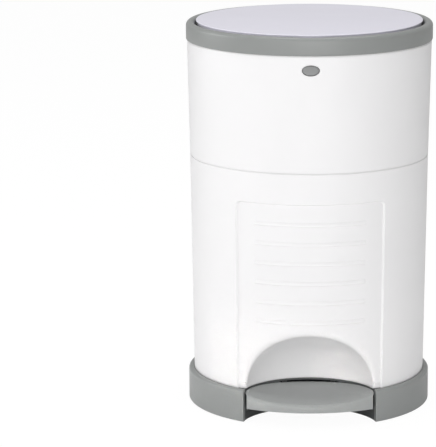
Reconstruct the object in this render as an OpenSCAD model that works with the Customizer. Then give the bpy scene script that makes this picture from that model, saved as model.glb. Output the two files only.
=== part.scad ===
// Round pedal nappy bin. Millimetres, +Z up, front at -Y, floor at z = 0, axis at x = y = 0.
// The upper half tilts back at the waist seam, and a pedal raises the lid through two push rods.

/* [Body] */
// Height over the lid
total_h = 552; // [535:1:570]
// Outer radius of the grey top ring, the widest place
ring_r = 175; // [172:0.5:178]
// Height of the waist seam
seam_z = 360; // [350:1:370]
// Body radius at the waist seam
seam_r = 170; // [169:0.1:170.6]
// Body radius where it meets the base ring
foot_r = 165.5; // [164.5:0.1:166.5]
// Wall of the two body shells
wall = 3; // [2.4:0.1:3.6]
// Open groove between the two shells
seam_gap = 1.2; // [0.8:0.1:1.8]
// Height of the inner lip that carries the upper shell
lip_h = 8; // [5:0.5:10]

/* [Ring and lid] */
// Height of the grey top ring
ring_h = 25; // [22:0.5:28]
// Width of the top ring, from outside to the lid
ring_w = 12; // [11.4:0.1:12.4]
// Gap between the lid and the ring
lid_gap = 2.4; // [2.2:0.1:2.6]
// Rounding of the lid edge
lid_round = 5; // [4:0.5:6]
// Distance of the lid hinge inside the lid edge
hinge_set = 11.1; // [10.9:0.1:11.3]
// Part of the ring that stands outside the neck
neck_set = 6; // [5.5:0.1:6.5]
// Reach of the crank under the lid
crank_r = 15; // [14:0.5:16]

/* [Foot recess and pedal] */
// Radius of the foot recess, about a line on the front face
recess_r = 97; // [94:1:100]
// Height of the arch over the floor
arch_z = 128; // [120:1:134]
// Height of the grey base ring
base_h = 46; // [42:1:50]
// Gap round the pedal
pedal_gap = 2; // [1.8:0.1:3]
// Highest edge of the pedal tread
tread_z = 44.5; // [43:0.5:45.5]
// Depth of the pedal tread
tread_h = 24; // [22:0.5:25]
// Height of the pedal pivot
pivot_z = 32; // [31:0.5:33]

/* [Front panel] */
// Half width of the sunk front panel
panel_half = 101.5; // [96:0.5:106]
// Top of the sunk front panel
panel_top = 316.4; // [305:0.2:325]
// Depth of the sunk front panel
panel_deep = 1.5; // [1:0.1:1.8]
// Number of ribs on the panel
rib_count = 6; // [4:1:6]
// Half width of a rib
rib_half = 77.5; // [60:0.5:85]
// Height of a rib
rib_h = 5; // [3:0.5:8]

/* [Chute] */
// Distance between the chute mouth and the push rod
mouth_gap = 16; // [15:1:20]
// Radius of the throat above the flaps
throat_r = 80; // [74:1:82]
// Depth of the chute, from the deck to the end of the throat
chute_h = 80; // [76:1:84]
// Thickness of a flap
flap_t = 3; // [2:0.5:4]

/* [Button and latch] */
// Width of the oval button
button_w = 25; // [20:0.5:30]
// Height of the oval button
button_h = 14.4; // [11:0.2:18]
// Distance of the button under the top of the lid
button_drop = 46.5; // [44:0.5:52]
// Distance of the latch pivot under the button
latch_drop = 65.5; // [60:0.5:75]

/* [Fits] */
// Gap between sliding faces
slide_gap = 0.3; // [0.2:0.05:0.5]
// Radial gap of a turning pin
pin_gap = 0.05; // [0.02:0.01:0.1]

/* [Hidden] */
$fn = 96;
eps = 0.01;
white = [0.93, 0.93, 0.92];
lilac = [0.88, 0.87, 0.91];
sage = [0.56, 0.58, 0.56];
dark = [0.30, 0.31, 0.31];
steel = [0.75, 0.76, 0.78];
ring_z = total_h - ring_h - 2;
crest_z = total_h - 2;
ring_wall_r = ring_r - 1.4;
ring_bore_r = ring_r - ring_w;
lid_r = ring_bore_r - lid_gap;
lid_axis_y = lid_r - hinge_set;
shell_low_z = seam_z - seam_gap / 2;
shell_up_z = seam_z + seam_gap / 2;
lip_r = seam_r - wall - 0.6;
lip_t = 2;
skirt_r = foot_r - 0.5;
skirt_z = 6;
notch_t = 2.4;
outside = ring_r * 1.2;
floor_z = 52;
floor_t = 3;
recess_y = -foot_r - 6.5;
base_out_r = foot_r + 7.9;
base_bottom = 0.4;
deck_z = total_h - 32;
deck_t = 3;
neck_r = ring_r - neck_set;
neck_z = total_h - 17;
ledge_r = neck_r - 11;
deck_r = neck_r - 3.5;
deck_screw_r = neck_r - 7;
button_z = total_h - button_drop;
throat_z = deck_z - chute_h;
lid_axis_z = total_h - 5.5;
crank_a = 40;
crank_pin_d = 4;
crank_y = lid_axis_y - crank_r * cos(crank_a);
crank_z = lid_axis_z - crank_r * sin(crank_a);
rod_y = lid_axis_y - 15.5;
rod_d = 7;
rod_w = 8;
rod_t = 6;
rod_low_z = 18.1;
rod_guide_z = 120;
rod_collar_z = 70;
rod_joint_z = seam_z + 12;
mouth_r = rod_y - mouth_gap;
waist_y = seam_r + 0.2;
waist_r = 4.5;
waist_pin_d = 4;
pivot_y = -30;
pivot_d = 6;
flap_x = throat_r + 8;
flap_axis_z = throat_z - 4;
flap_pin_d = 3;
latch_y = 11.5 - min(seam_r, ring_wall_r - 3.6);
latch_z = button_z - latch_drop;
latch_pin_d = 4;
latch_coil_end = 23;
lever_t = 3;
channel_half = 12;
channel_t = 2.5;
channel_y = rod_y - 10;
tray_r = channel_y - 1.5;
boss_spots = [[118, 45], [-118, 45], [84, -62], [-84, -62]];
pad_d = 22;
pad_r = foot_r - 15.5;
pad_a = [-20, 41, 139, 200];
lid_screw_spots = [[75, 40], [-75, 40], [75, -60], [-75, -60]];
deck_screw_a = [40, 140, 220, 320];
pedal_screws_y = recess_y + 64;
pedal_screws_x = [-28, 28];

// Points of a circular arc, for a profile
function arc(cx, cy, r, a0, a1, n) =
  [for (i = [0 : n]) [cx + r * cos(a0 + (a1 - a0) * i / n), cy + r * sin(a0 + (a1 - a0) * i / n)]];
// Points of a whole ellipse with half sizes a and b
function ellipse(a, b, n) = [for (i = [0 : n - 1]) [a * cos(360 * i / n), b * sin(360 * i / n)]];
// Points of a quarter ellipse from the outside to the top
function quarter(a, b, n) = [for (i = [0 : n]) [a * cos(90 * i / n), b * sin(90 * i / n)]];
// Outer radius of the body at height z
function low_r(z) = foot_r + (seam_r - foot_r) * (z - base_h) / (seam_z - base_h);
function low_in(z) = low_r(base_h) - wall
  + (low_r(shell_low_z) - low_r(base_h)) * (z - base_h + 2) / (shell_low_z - base_h + 2);
function up_r(z) = seam_r + (ring_wall_r - seam_r) * (z - seam_z) / (ring_z - seam_z);

// Cone that follows the inside of the lower or the upper shell
module low_core(inset) {
  cylinder(r1 = low_in(0) - inset, r2 = low_in(seam_z) - inset, h = seam_z);
}

module up_core(z0, z1, inset) {
  translate([0, 0, z0]) cylinder(r1 = up_r(z0) - inset, r2 = up_r(z1) - inset, h = z1 - z0);
}

// Round bar along X, centred
module bar_x(d, l) {
  rotate([0, 90, 0]) cylinder(d = d, h = l, center = true);
}

// Round bar along Y, centred
module bar_y(d, l) {
  rotate([90, 0, 0]) cylinder(d = d, h = l, center = true);
}

// Box between two corners
module block(a, b) {
  translate(a) cube(b - a);
}

// Both sides of the middle plane
module both() {
  children();
  mirror([1, 0, 0]) children();
}

// Screw with its head on top at z = 0 and its shank down, with a cross recess
module screw(d, l, head_d, head_h) {
  difference() {
    union() {
      cylinder(d = head_d, h = head_h);
      translate([0, 0, -l]) cylinder(d = d, h = l + eps);
    }
    for (a = [0, 90])
      rotate([0, 0, a])
        block([-head_d / 3, -0.4, head_h / 2], [head_d / 3, 0.4, head_h + 1]);
  }
}

// Helical wire of square section from z = 0 up
module coil(r, wire, turns, h) {
  sweep = 360 * wire * turns / h;
  steps = ceil(sweep / 40);
  linear_extrude(height = h, twist = -360 * turns, slices = turns * 14, $fn = 8)
    polygon(concat(arc(0, 0, r + wire / 2, 0, sweep, steps), arc(0, 0, r - wire / 2, sweep, 0, steps)));
}

// Space of the foot recess, from below the floor to the arch
module recess_space(grow, bottom) {
  translate([0, recess_y, 0])
    rotate_extrude()
      polygon(concat([[0, bottom], [recess_r + grow, bottom]],
        [for (p = quarter(recess_r + grow, arch_z - base_h + grow, 14)) [p[0], p[1] + base_h]]));
}

// Outer skin of the lower shell, its wall measured inward
module low_skin() {
  rotate_extrude()
    polygon([[skirt_r - wall, skirt_z], [skirt_r, skirt_z], [skirt_r, base_h], [low_r(base_h), base_h],
      [low_r(shell_low_z), shell_low_z], [low_r(shell_low_z) - wall, shell_low_z],
      [low_r(base_h) - wall, base_h - 2], [skirt_r - wall, base_h - 3]]);
}

// Inner lip at the rim, open at the latch and at the hinge
module rim_lip() {
  difference() {
    rotate_extrude()
      polygon([[lip_r - lip_t, seam_z - 12], [lip_r + 1.2, seam_z - 16], [lip_r + 1.2, seam_z - 1.5],
        [lip_r, seam_z - 1.5], [lip_r, seam_z + lip_h - 1], [lip_r - 1, seam_z + lip_h],
        [lip_r - lip_t, seam_z + lip_h]]);
    block([-14, -ring_r, seam_z - 20], [14, -ring_r / 2, seam_z + 20]);
    block([-46, ring_r / 2, seam_z - 20], [46, ring_r, seam_z + 20]);
  }
}

// Curved slab of the shell between two radii, within the panel outline
module panel_cut() {
  difference() {
    intersection() {
      translate([0, 0, base_h - 5]) cylinder(r = ring_r, h = panel_top - base_h + 5);
      translate([0, -ring_r, 0]) panel_outline(panel_half, panel_top);
    }
    rotate_extrude()
      polygon([[0, 0], [low_r(0) - panel_deep, 0], [low_r(shell_low_z) - panel_deep, shell_low_z],
        [0, shell_low_z]]);
  }
}

// Upright outline with round upper corners, extruded into the body
module panel_outline(half, top) {
  corner = 9;
  rotate([-90, 0, 0])
    mirror([0, 1, 0])
      linear_extrude(height = 70)
        polygon(concat([[-half - 1.5, 0], [half + 1.5, 0]],
          arc(half - corner, top - corner, corner, 0, 90, 6),
          arc(corner - half, top - corner, corner, 90, 180, 6)));
}

// Beads across the front panel
module ribs() {
  pitch = 28;
  for (i = [0 : rib_count - 1]) {
    z = panel_top - 28.4 - i * pitch;
    intersection() {
      rotate_extrude()
        polygon([[low_r(z) - wall, z - rib_h / 2], [low_r(z) - panel_deep - 0.2, z - rib_h / 2],
          [low_r(z) - 0.1, z - rib_h / 6], [low_r(z) - 0.1, z + rib_h / 6],
          [low_r(z) - panel_deep - 0.2, z + rib_h / 2], [low_r(z) - wall, z + rib_h / 2]]);
      block([-rib_half, -ring_r, z - rib_h], [rib_half, 0, z + rib_h]);
    }
  }
}

// Upright channel at the back that keeps the rod apart from the waste, within the given core
module rod_channel(z0, z1) {
  intersection() {
    children();
    union() {
      both()
        block([channel_half - channel_t, channel_y, z0], [channel_half, ring_r, z1]);
      block([-channel_half, channel_y, z0], [channel_half, channel_y + channel_t, z1]);
    }
  }
}

// Plate across the channel with a square hole for the rod, within the given core
module rod_guide(z, half_w, half_t) {
  difference() {
    intersection() {
      children();
      block([-channel_half, channel_y, z], [channel_half, ring_r, z + 6]);
    }
    block([-half_w, rod_y - half_t, z - 1], [half_w, rod_y + half_t, z + 7]);
  }
}

// Hinge knuckles, from x0 to x1 on both sides, reaching from the axis to the wall at z1
module waist_knuckles(x0, x1, z1) {
  both() {
    translate([(x0 + x1) / 2, waist_y, seam_z]) bar_x(waist_r * 2, x1 - x0);
    block([x0, waist_y - 10, min(seam_z, z1)], [x1, waist_y, max(seam_z, z1)]);
  }
}

// Window piece behind the rim that the latch hook catches
module latch_catch() {
  in_y = latch_y + 6.3;
  difference() {
    intersection() {
      translate([0, 0, seam_z - 28]) cylinder(r = seam_r - wall / 2 - 0.6, h = 34);
      union() {
        both() block([10, -seam_r, seam_z - 28], [13, in_y, seam_z + 6]);
        block([-13, in_y - 3, seam_z - 28], [13, in_y, seam_z + 6]);
        block([-13, -seam_r, seam_z - 28], [13, in_y, seam_z - 25]);
      }
    }
    block([-9, in_y - 3.8, seam_z - 9.5], [9, in_y + 1.2, seam_z - 2.5]);
    difference() {
      translate([0, 0, seam_z - 1]) cylinder(r = ring_r, h = 20);
      translate([0, 0, seam_z - 2]) cylinder(r = lip_r, h = 22);
    }
  }
}

// White lower shell with the bin floor, the foot recess and the rod channel
module lower_body() {
  boss_d = 11;
  color(white)
  difference() {
    union() {
      difference() {
        union() {
          difference() {
            low_skin();
            panel_cut();
          }
          ribs();
        }
        recess_space(0, -1);
        translate([0, recess_y, 0]) cylinder(r = recess_r + notch_t + slide_gap, h = base_h);
      }
      difference() {
        intersection() {
          recess_space(wall, base_h);
          cylinder(r1 = foot_r - 1.2, r2 = seam_r - 1.2, h = seam_z);
        }
        recess_space(0, -1);
      }
      difference() {
        translate([0, 0, floor_z]) cylinder(r = foot_r - 1, h = floor_t);
        recess_space(0, -1);
        block([-rod_d, rod_y - rod_d, floor_z - 1], [rod_d, rod_y + rod_d, floor_z + 5]);
      }
      rim_lip();
      rod_channel(floor_z, seam_z - 8) low_core(-1);
      for (z = [rod_guide_z, seam_z - 30])
        rod_guide(z, rod_d / 2 + slide_gap, rod_d / 2 + slide_gap) low_core(-1);
      waist_knuckles(30, 42, seam_z - 9);
      latch_catch();
      for (p = boss_spots)
        translate([p[0], p[1], 3.5]) cylinder(d = boss_d, h = floor_z - 3);
      both()
        block([32, pivot_y - 7, pivot_z - 7], [38, pivot_y + 7, floor_z + 1]);
    }
    for (p = boss_spots)
      translate([p[0], p[1], 0]) cylinder(d = 3, h = 16);
    translate([0, pivot_y, pivot_z]) bar_x(pivot_d + 2 * pin_gap, 120);
    translate([0, waist_y, seam_z]) bar_x(waist_pin_d, 90);
    both()
      block([14.6, waist_y - 25, seam_z - 5.5], [29.7, outside, seam_z + 5]);
  }
}

// Outside of the base ring, from the axis at the bottom to the rounded top
function base_outline() =
  concat([[0, base_bottom], [base_out_r - 1.5, base_bottom], [base_out_r, base_bottom + 1.5]],
    arc(base_out_r - 8, base_h - 8, 8, 0, 80, 6));

// Upright wall round the pedal notch, open in the middle for the lever
module notch_wall() {
  difference() {
    intersection() {
      translate([0, recess_y, base_bottom])
        cylinder(r = recess_r + notch_t, h = base_h - slide_gap - base_bottom);
      rotate_extrude() polygon(concat(base_outline(), [[0, base_h]]));
    }
    translate([0, recess_y, 0]) cylinder(r = recess_r, h = base_h + 1);
    block([-27.5, recess_y, 12], [27.5, 0, base_h + 1]);
  }
}

// Grey base ring and bottom plate, notched for the pedal
module base_ring() {
  color(sage)
  union() {
    difference() {
      rotate_extrude()
        polygon(concat(base_outline(), [[skirt_r, base_h], [skirt_r, skirt_z],
          [skirt_r - wall - 1, skirt_z], [skirt_r - wall - 1, base_bottom + 2.5],
          [0, base_bottom + 2.5]]));
      rotate_extrude()
        polygon([[skirt_r + 2.5, 0], [base_out_r - 2.6, 0], [base_out_r - 2.6, base_h - 12],
          [skirt_r + 2.5, base_h - 6]]);
      translate([0, recess_y, -1]) cylinder(r = recess_r, h = base_h + 5);
      for (p = boss_spots)
        translate([p[0], p[1], -1]) {
          cylinder(d = 3.4, h = 8);
          cylinder(d = 8, h = 2.6);
        }
      for (a = pad_a)
        rotate([0, 0, a]) translate([pad_r, 0, -1]) cylinder(d = pad_d, h = 2.6);
    }
    notch_wall();
  }
}

// Four soft pads glued in the bottom plate
module anti_slip_feet() {
  color(dark)
  for (a = pad_a)
    rotate([0, 0, a]) translate([pad_r, 0, 0]) cylinder(d = pad_d, h = 1.6);
}

// Four screws that hold the base ring to the lower shell
module base_screws() {
  color(steel)
  for (p = boss_spots)
    translate([p[0], p[1], 1.6]) mirror([0, 0, 1]) screw(3, 14, 6.5, 1.1);
}

// Grey crescent that the foot presses, dished across and hollow below
module pedal_tread() {
  out_r = base_out_r - 0.5;
  dish_r = 435;
  color(sage)
  difference() {
    intersection() {
      translate([0, recess_y, tread_z - tread_h]) cylinder(r = recess_r - pedal_gap, h = tread_h);
      cylinder(r = out_r, h = tread_z + 1);
    }
    translate([0, recess_y + 94, tread_z - 3.5 + dish_r])
      rotate([5.2, 0, 0]) bar_y(2 * dish_r, 320, $fn = 720);
    intersection() {
      translate([0, recess_y, 0]) cylinder(r = recess_r - pedal_gap - 3, h = tread_z - 15.2);
      cylinder(r = out_r - 3, h = tread_z);
    }
    block([-25, recess_y, 0], [25, 0, tread_z - 15.2]);
    for (x = pedal_screws_x)
      translate([x, pedal_screws_y, 0]) cylinder(d = 4, h = tread_z - 6);
  }
}

// Lever that carries the tread, turns on the pivot pin and lifts the lower rod
module pedal_lever() {
  plate_z = tread_z - 15.2 - 4;
  color(dark)
  difference() {
    union() {
      block([-40, recess_y + 22, plate_z], [40, recess_y + 80, plate_z + 4]);
      block([-24, recess_y + 78, plate_z], [24, pivot_y, plate_z + 4]);
      translate([0, pivot_y, pivot_z]) bar_x(12, 62);
      rotate([90, 0, 90])
        linear_extrude(height = 24, center = true)
          polygon([[pivot_y, plate_z - 1], [pivot_y, plate_z + 5], [rod_y - 9, rod_low_z - 0.3],
            [rod_y + 8, rod_low_z - 0.3], [rod_y + 8, rod_low_z - 6.3], [rod_y - 9, rod_low_z - 6.3]]);
    }
    translate([0, pivot_y, pivot_z]) bar_x(pivot_d + 2 * pin_gap, 70);
    for (x = pedal_screws_x)
      translate([x, pedal_screws_y, 0]) cylinder(d = 4.4, h = 60);
  }
}

// Two screws from below that hold the tread on the lever
module pedal_screws() {
  plate_z = tread_z - 15.2 - 4;
  color(steel)
  for (x = pedal_screws_x)
    translate([x, pedal_screws_y, plate_z]) mirror([0, 0, 1]) screw(4, 12, 8, 2);
}

// Steel pin through the lever and the two lugs under the floor
module pedal_pivot_pin() {
  color(steel)
  translate([0, pivot_y, pivot_z]) bar_x(pivot_d, 80);
}

// Round rod in the lower channel, with a collar under the spring
module lower_push_rod() {
  color(dark)
  translate([0, rod_y, 0]) {
    translate([0, 0, rod_low_z]) cylinder(d = rod_d, h = rod_joint_z - rod_low_z);
    translate([0, 0, rod_collar_z]) cylinder(d = rod_d * 2, h = 3);
  }
}

// Coil that pushes the rod down again, between the collar and the lower guide
module rod_return_spring() {
  color(steel)
  translate([0, rod_y, rod_collar_z + 3]) coil(5.2, 1.2, 7, rod_guide_z - rod_collar_z - 3);
}

// Steel pin of the waist hinge
module body_hinge_pin() {
  color(steel)
  translate([0, waist_y, seam_z]) bar_x(waist_pin_d, 88);
}

// Holder of the film cutter, inside the rim
module cutter_holder() {
  color(sage)
  difference() {
    intersection() {
      low_core(0);
      block([-seam_r, -16, seam_z - 48], [20 - seam_r, 16, seam_z - 22]);
    }
    block([-seam_r, -10, seam_z - 36], [21 - seam_r, 10, seam_z - 33]);
    block([-seam_r, -20, seam_z - 26], [12 - seam_r, 20, seam_z - 21]);
    block([10 - seam_r, -1, seam_z - 40], [21 - seam_r, 1, seam_z - 30]);
  }
}

// Small blade that stands in the slot of its holder
module cutter_blade() {
  color(steel)
  translate([10 - seam_r, 0, seam_z - 34.5])
    rotate([90, 0, 0])
      linear_extrude(height = 0.6, center = true)
        polygon([[0.2, -5.3], [7, -5.3], [9, 0], [7, 4.2], [0.2, 4.2]]);
}

// White upper shell with the deck ledge, the button hole and the latch brackets
module upper_body() {
  color(white)
  difference() {
    union() {
      rotate_extrude()
        polygon([[up_r(shell_up_z) - wall, shell_up_z], [up_r(shell_up_z), shell_up_z],
          [up_r(ring_z - 0.3), ring_z - 0.3], [neck_r, ring_z - 0.3], [neck_r, neck_z],
          [neck_r - 3, neck_z], [neck_r - 3, deck_z], [ledge_r, deck_z], [ledge_r, deck_z - 3],
          [up_r(deck_z - 12) - wall, deck_z - 12]]);
      rod_channel(seam_z + 18, deck_z - 2) up_core(seam_z, deck_z, 2);
      for (z = [seam_z + 35, deck_z - 40])
        rod_guide(z, rod_w / 2 + slide_gap, rod_t / 2 + slide_gap) up_core(seam_z, deck_z, 2);
      waist_knuckles(15, 29.5, seam_z + 9);
      intersection() {
        translate([0, 0, latch_z - 6]) cylinder(r = up_r(latch_z) - 1.5, h = 12);
        both() block([9.5, -outside, latch_z - 6], [13, latch_y + 5.5, latch_z + 6]);
      }
    }
    translate([0, -ring_r - 5, button_z])
      rotate([-90, 0, 0])
        linear_extrude(height = 20) polygon(ellipse(button_w / 2 + 0.4, button_h / 2 + 0.4, 40));
    intersection() {
      translate([0, 0, button_z - 12])
        cylinder(r = up_r(button_z - 12) - wall, h = deck_z - 4 - button_z + 12);
      block([-button_w / 2 - 5, -outside, button_z - 12], [button_w / 2 + 5, -ledge_r + 3, deck_z]);
    }
    translate([0, latch_y, latch_z]) bar_x(latch_pin_d, 40);
    translate([0, waist_y, seam_z]) bar_x(waist_pin_d + 2 * pin_gap, 90);
    both()
      block([29.8, waist_y - 25, seam_z - 5], [42.4, outside, seam_z + 5.5]);
    for (a = deck_screw_a)
      rotate([0, 0, a]) translate([deck_screw_r, 0, deck_z - 8]) cylinder(d = 3, h = 10);
  }
}

// Grey ring over the neck of the upper shell, with a shallow finger scoop in front
module top_ring() {
  in_round = 4.8;
  out_round = ring_w - in_round - 0.2;
  scoop_r = 350;
  color(sage)
  difference() {
    rotate_extrude()
      polygon(concat([[neck_r + 0.05, ring_z], [ring_r, ring_z]],
        arc(ring_r - out_round, crest_z - out_round, out_round, 0, 90, 6),
        arc(ring_bore_r + in_round, crest_z - in_round, in_round, 90, 180, 4),
        [[ring_bore_r, neck_z - 7], [neck_r - 3.2, neck_z - 7], [neck_r - 3.2, neck_z + 0.2],
          [neck_r + 0.05, neck_z + 0.2]]));
    translate([0, -ring_r, crest_z + scoop_r - 1]) bar_y(2 * scoop_r, 50, $fn = 360);
  }
}

// Funnel from the deck down to the throat, with lugs for the flaps and posts for the lid hinge
module chute() {
  cone_z = throat_z + 15;
  color(white)
  difference() {
    union() {
      rotate_extrude()
        polygon([[throat_r, throat_z], [throat_r + 3, throat_z], [throat_r + 3, cone_z - 1.5],
          [mouth_r + 3, deck_z - 1], [ledge_r - 5, deck_z], [deck_r, deck_z], [deck_r, deck_z + deck_t],
          [mouth_r + 3, deck_z + deck_t], [mouth_r + 3, deck_z + 13], [mouth_r, deck_z + 13],
          [mouth_r, deck_z], [throat_r, cone_z]]);
      both()
        for (s = [-1, 1]) {
          block([throat_r - 10, s * 41 - 3, throat_z + 1], [flap_x + 4, s * 41 + 3, throat_z + 8]);
          block([flap_x - 3.6, s * 41 - 3, flap_axis_z - 4], [flap_x + 4, s * 41 + 3, throat_z + 8]);
        }
      both() {
        translate([33, lid_axis_y, lid_axis_z]) bar_x(6.6, 6);
        translate([30, 0, 0])
          rotate([90, 0, 90])
            linear_extrude(height = 6)
              polygon([[lid_axis_y - 12, deck_z + 1], [lid_axis_y + 3.3, deck_z + 1],
                [lid_axis_y + 3.3, lid_axis_z], [lid_axis_y - 3.3, lid_axis_z]]);
      }
    }
    translate([0, lid_axis_y, lid_axis_z]) bar_x(4, 80);
    translate([0, 0, throat_z - 10]) cylinder(r = throat_r, h = 30);
    block([-6, rod_y - 5, deck_z - 20], [6, rod_y + 9.5, deck_z + 10]);
    for (x = [-flap_x, flap_x])
      translate([x, 0, flap_axis_z]) bar_y(flap_pin_d, 100);
    for (a = deck_screw_a)
      rotate([0, 0, a]) translate([deck_screw_r, 0, deck_z - 8]) cylinder(d = 3.4, h = 20);
  }
}

// Four screws through the deck into the ledge
module chute_screws() {
  color(steel)
  for (a = deck_screw_a)
    rotate([0, 0, a]) translate([deck_screw_r, 0, deck_z + deck_t]) screw(3, 9, 6, 2);
}

// Tray round the throat that carries the pack of tubular film
module liner_ring() {
  color(sage)
  rotate_extrude()
    polygon([[throat_r + 3, throat_z + 8], [tray_r, throat_z + 8], [tray_r, throat_z + 20],
      [tray_r - 2.5, throat_z + 20], [tray_r - 2.5, throat_z + 10.5], [throat_r + 3, throat_z + 10.5]]);
}

// Half disc under the throat with two ears on the pin, drawn at the right
module flap() {
  top = throat_z - 0.4;
  difference() {
    union() {
      intersection() {
        translate([0, 0, top - flap_t]) cylinder(r = throat_r + 4, h = flap_t);
        block([0.6, -throat_r - 5, top - flap_t - 1], [throat_r + 5, throat_r + 5, top + 1]);
      }
      block([12, -26, top - flap_t - 4], [60, -23, top - flap_t + eps]);
      block([12, 23, top - flap_t - 4], [60, 26, top - flap_t + eps]);
      for (s = [-1, 1]) {
        translate([flap_x, s * 34, flap_axis_z]) bar_y(6.8, 7);
        block([throat_r - 12, s * 34 - 3.5, flap_axis_z - 2.4], [flap_x, s * 34 + 3.5, top]);
      }
    }
    translate([flap_x, 0, flap_axis_z]) bar_y(flap_pin_d + 2 * pin_gap, 100);
    block([throat_r - 13, -31 + 0.6, flap_axis_z - 8], [flap_x + 5, 31 - 0.6, top - flap_t - eps]);
  }
}

module flap_right() {
  color(white) flap();
}

module flap_left() {
  color(white) mirror([1, 0, 0]) flap();
}

// Pins of the two flaps
module flap_pins() {
  color(steel)
  for (x = [-flap_x, flap_x])
    translate([x, 0, flap_axis_z]) bar_y(flap_pin_d, 88);
}

// One closing coil on each flap pin
module flap_springs() {
  color(steel)
  for (x = [-flap_x, flap_x])
    translate([x, 8, flap_axis_z]) rotate([90, 0, 0]) coil(2.3, 0.9, 5, 16);
}

// Flat rod in the upper channel, its slotted head round the crank pin
module upper_push_rod() {
  head_y0 = rod_y - 3.2;
  color(dark)
  difference() {
    union() {
      block([-rod_w / 2, rod_y - rod_t / 2, rod_joint_z + 0.3], [rod_w / 2, rod_y + rod_t / 2, crank_z]);
      block([-rod_w / 2, head_y0, crank_z - 6], [rod_w / 2, rod_y + 8.2, crank_z + 6.2]);
    }
    block([-10, lid_axis_y - crank_r - 2.4, crank_z - 2.5], [10, crank_y + 2.4, crank_z + 2.5]);
  }
}

// Oval button with a flange behind the wall and a stem on the latch
module release_button() {
  front_y = -up_r(button_z) - 1.3;
  flange_x = button_w / 2 + 3;
  flange_z = button_h / 2 + 3;
  inside = min(up_r(button_z - flange_z), up_r(button_z + flange_z)) - wall;
  flange_y = 0.3 - sqrt(inside * inside - flange_x * flange_x);
  stem_end = latch_y - lever_t - 0.5;
  color(sage)
  intersection() {
    translate([0, 0, button_z - button_h]) cylinder(r = -front_y, h = button_h * 2);
    union() {
      translate([0, front_y - 1, button_z])
        rotate([-90, 0, 0])
          linear_extrude(height = flange_y - front_y + 2.5) polygon(ellipse(button_w / 2, button_h / 2, 40));
      translate([0, flange_y, button_z])
        rotate([-90, 0, 0])
          linear_extrude(height = 1.7) polygon(ellipse(flange_x, flange_z, 40));
      translate([0, (flange_y + 1 + stem_end) / 2, button_z]) bar_y(8, stem_end - flange_y - 1);
    }
  }
}

// Long lever behind the front wall, pushed at the top, its hook under the catch
module latch_lever() {
  color(dark)
  difference() {
    union() {
      block([-8, latch_y - 0.1 - lever_t, seam_z - 8], [8, latch_y - 0.1, button_z + 7]);
      translate([0, latch_y, latch_z]) bar_x(9, 18.4);
      block([-8, latch_y - 0.1 - lever_t, seam_z - 8], [8, latch_y + 5, seam_z - 2.8]);
      block([-1.5, latch_y - 0.2, seam_z - 4], [1.5, latch_y + 3, button_z - 12]);
    }
    translate([0, latch_y, latch_z]) bar_x(latch_pin_d + 2 * pin_gap, 30);
  }
}

// Pin of the latch lever in its two brackets, longer at the side of the coil
module latch_pin() {
  color(steel)
  translate([(latch_coil_end - 13) / 2, latch_y, latch_z]) bar_x(latch_pin_d, latch_coil_end + 13);
}

// Coil on the latch pin that holds the latch shut and the button out
module latch_spring() {
  color(steel)
  translate([13.4, latch_y, latch_z])
    rotate([0, 90, 0]) coil(latch_pin_d / 2 + 0.8, 0.9, 4, latch_coil_end - 14.5);
}

// White lid with a rounded edge, open below round the hinge posts
module lid_panel() {
  color(lilac)
  difference() {
    union() {
      rotate_extrude()
        polygon(concat([[0, total_h - 3], [lid_r - 3, total_h - 4.5], [lid_r - 3, total_h - 11],
          [lid_r, total_h - 11]], arc(lid_r - lid_round, total_h - lid_round, lid_round, 0, 90, 6),
          [[0, total_h]]));
      both() {
        translate([25, lid_axis_y, lid_axis_z]) bar_x(8, 8);
        block([21, lid_axis_y - 4, lid_axis_z - 2], [29, lid_axis_y + 7, total_h - 2]);
      }
      for (p = lid_screw_spots)
        translate([p[0], p[1], total_h - 6]) cylinder(d = 9, h = 4);
    }
    both()
      block([29.4, lid_axis_y - 5.5, total_h - 20], [36.6, ring_r, total_h - 1.6]);
    block([-20.8, lid_axis_y - 2, total_h - 12], [20.8, ring_r, total_h - 4]);
    translate([0, lid_axis_y, lid_axis_z]) bar_x(4 + 2 * pin_gap, 80);
    for (p = lid_screw_spots)
      translate([p[0], p[1], total_h - 10]) cylinder(d = 3, h = 8.5);
  }
}

// Inner lid with the sealing rib and the two crank cheeks
module lid_liner() {
  plate_z = total_h - 6.6;
  color(white)
  difference() {
    union() {
      translate([0, 0, plate_z - 2]) cylinder(r = mouth_r + 22, h = 2.6);
      rotate_extrude()
        polygon([[mouth_r - 3, total_h - 15.5], [mouth_r + 7, total_h - 15.5],
          [mouth_r + 7, plate_z], [mouth_r - 3, plate_z]]);
      both()
        block([5, crank_y - 3.5, crank_z - 3.5], [8.5, lid_axis_y - 3, plate_z + 0.6]);
    }
    translate([0, crank_y, crank_z]) bar_x(crank_pin_d, 30);
    both() block([18, lid_axis_y - 9, total_h - 20], [60, ring_r, total_h]);
    block([-4.9, rod_y - 7, total_h - 20], [4.9, ring_r, total_h - 5.7]);
    for (p = lid_screw_spots)
      translate([p[0], p[1], total_h - 12]) cylinder(d = 3.4, h = 10);
    for (p = lid_screw_spots)
      translate([p[0], p[1], plate_z]) cylinder(d = 9.4, h = 5);
  }
}

// Soft ring under the rib, over the chute mouth
module lid_seal() {
  color(dark)
  rotate_extrude()
    polygon([[mouth_r - 2.5, deck_z + 13.3], [mouth_r + 6.5, deck_z + 13.3],
      [mouth_r + 6.5, total_h - 15.5], [mouth_r - 2.5, total_h - 15.5]]);
}

// Four screws that hold the inner lid
module lid_screws() {
  color(steel)
  for (p = lid_screw_spots)
    translate([p[0], p[1], total_h - 8.6]) mirror([0, 0, 1]) screw(3, 6, 6.5, 1.8);
}

// Steel pin of the lid hinge
module lid_hinge_pin() {
  color(steel)
  translate([0, lid_axis_y, lid_axis_z]) bar_x(4, 72);
}

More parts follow.
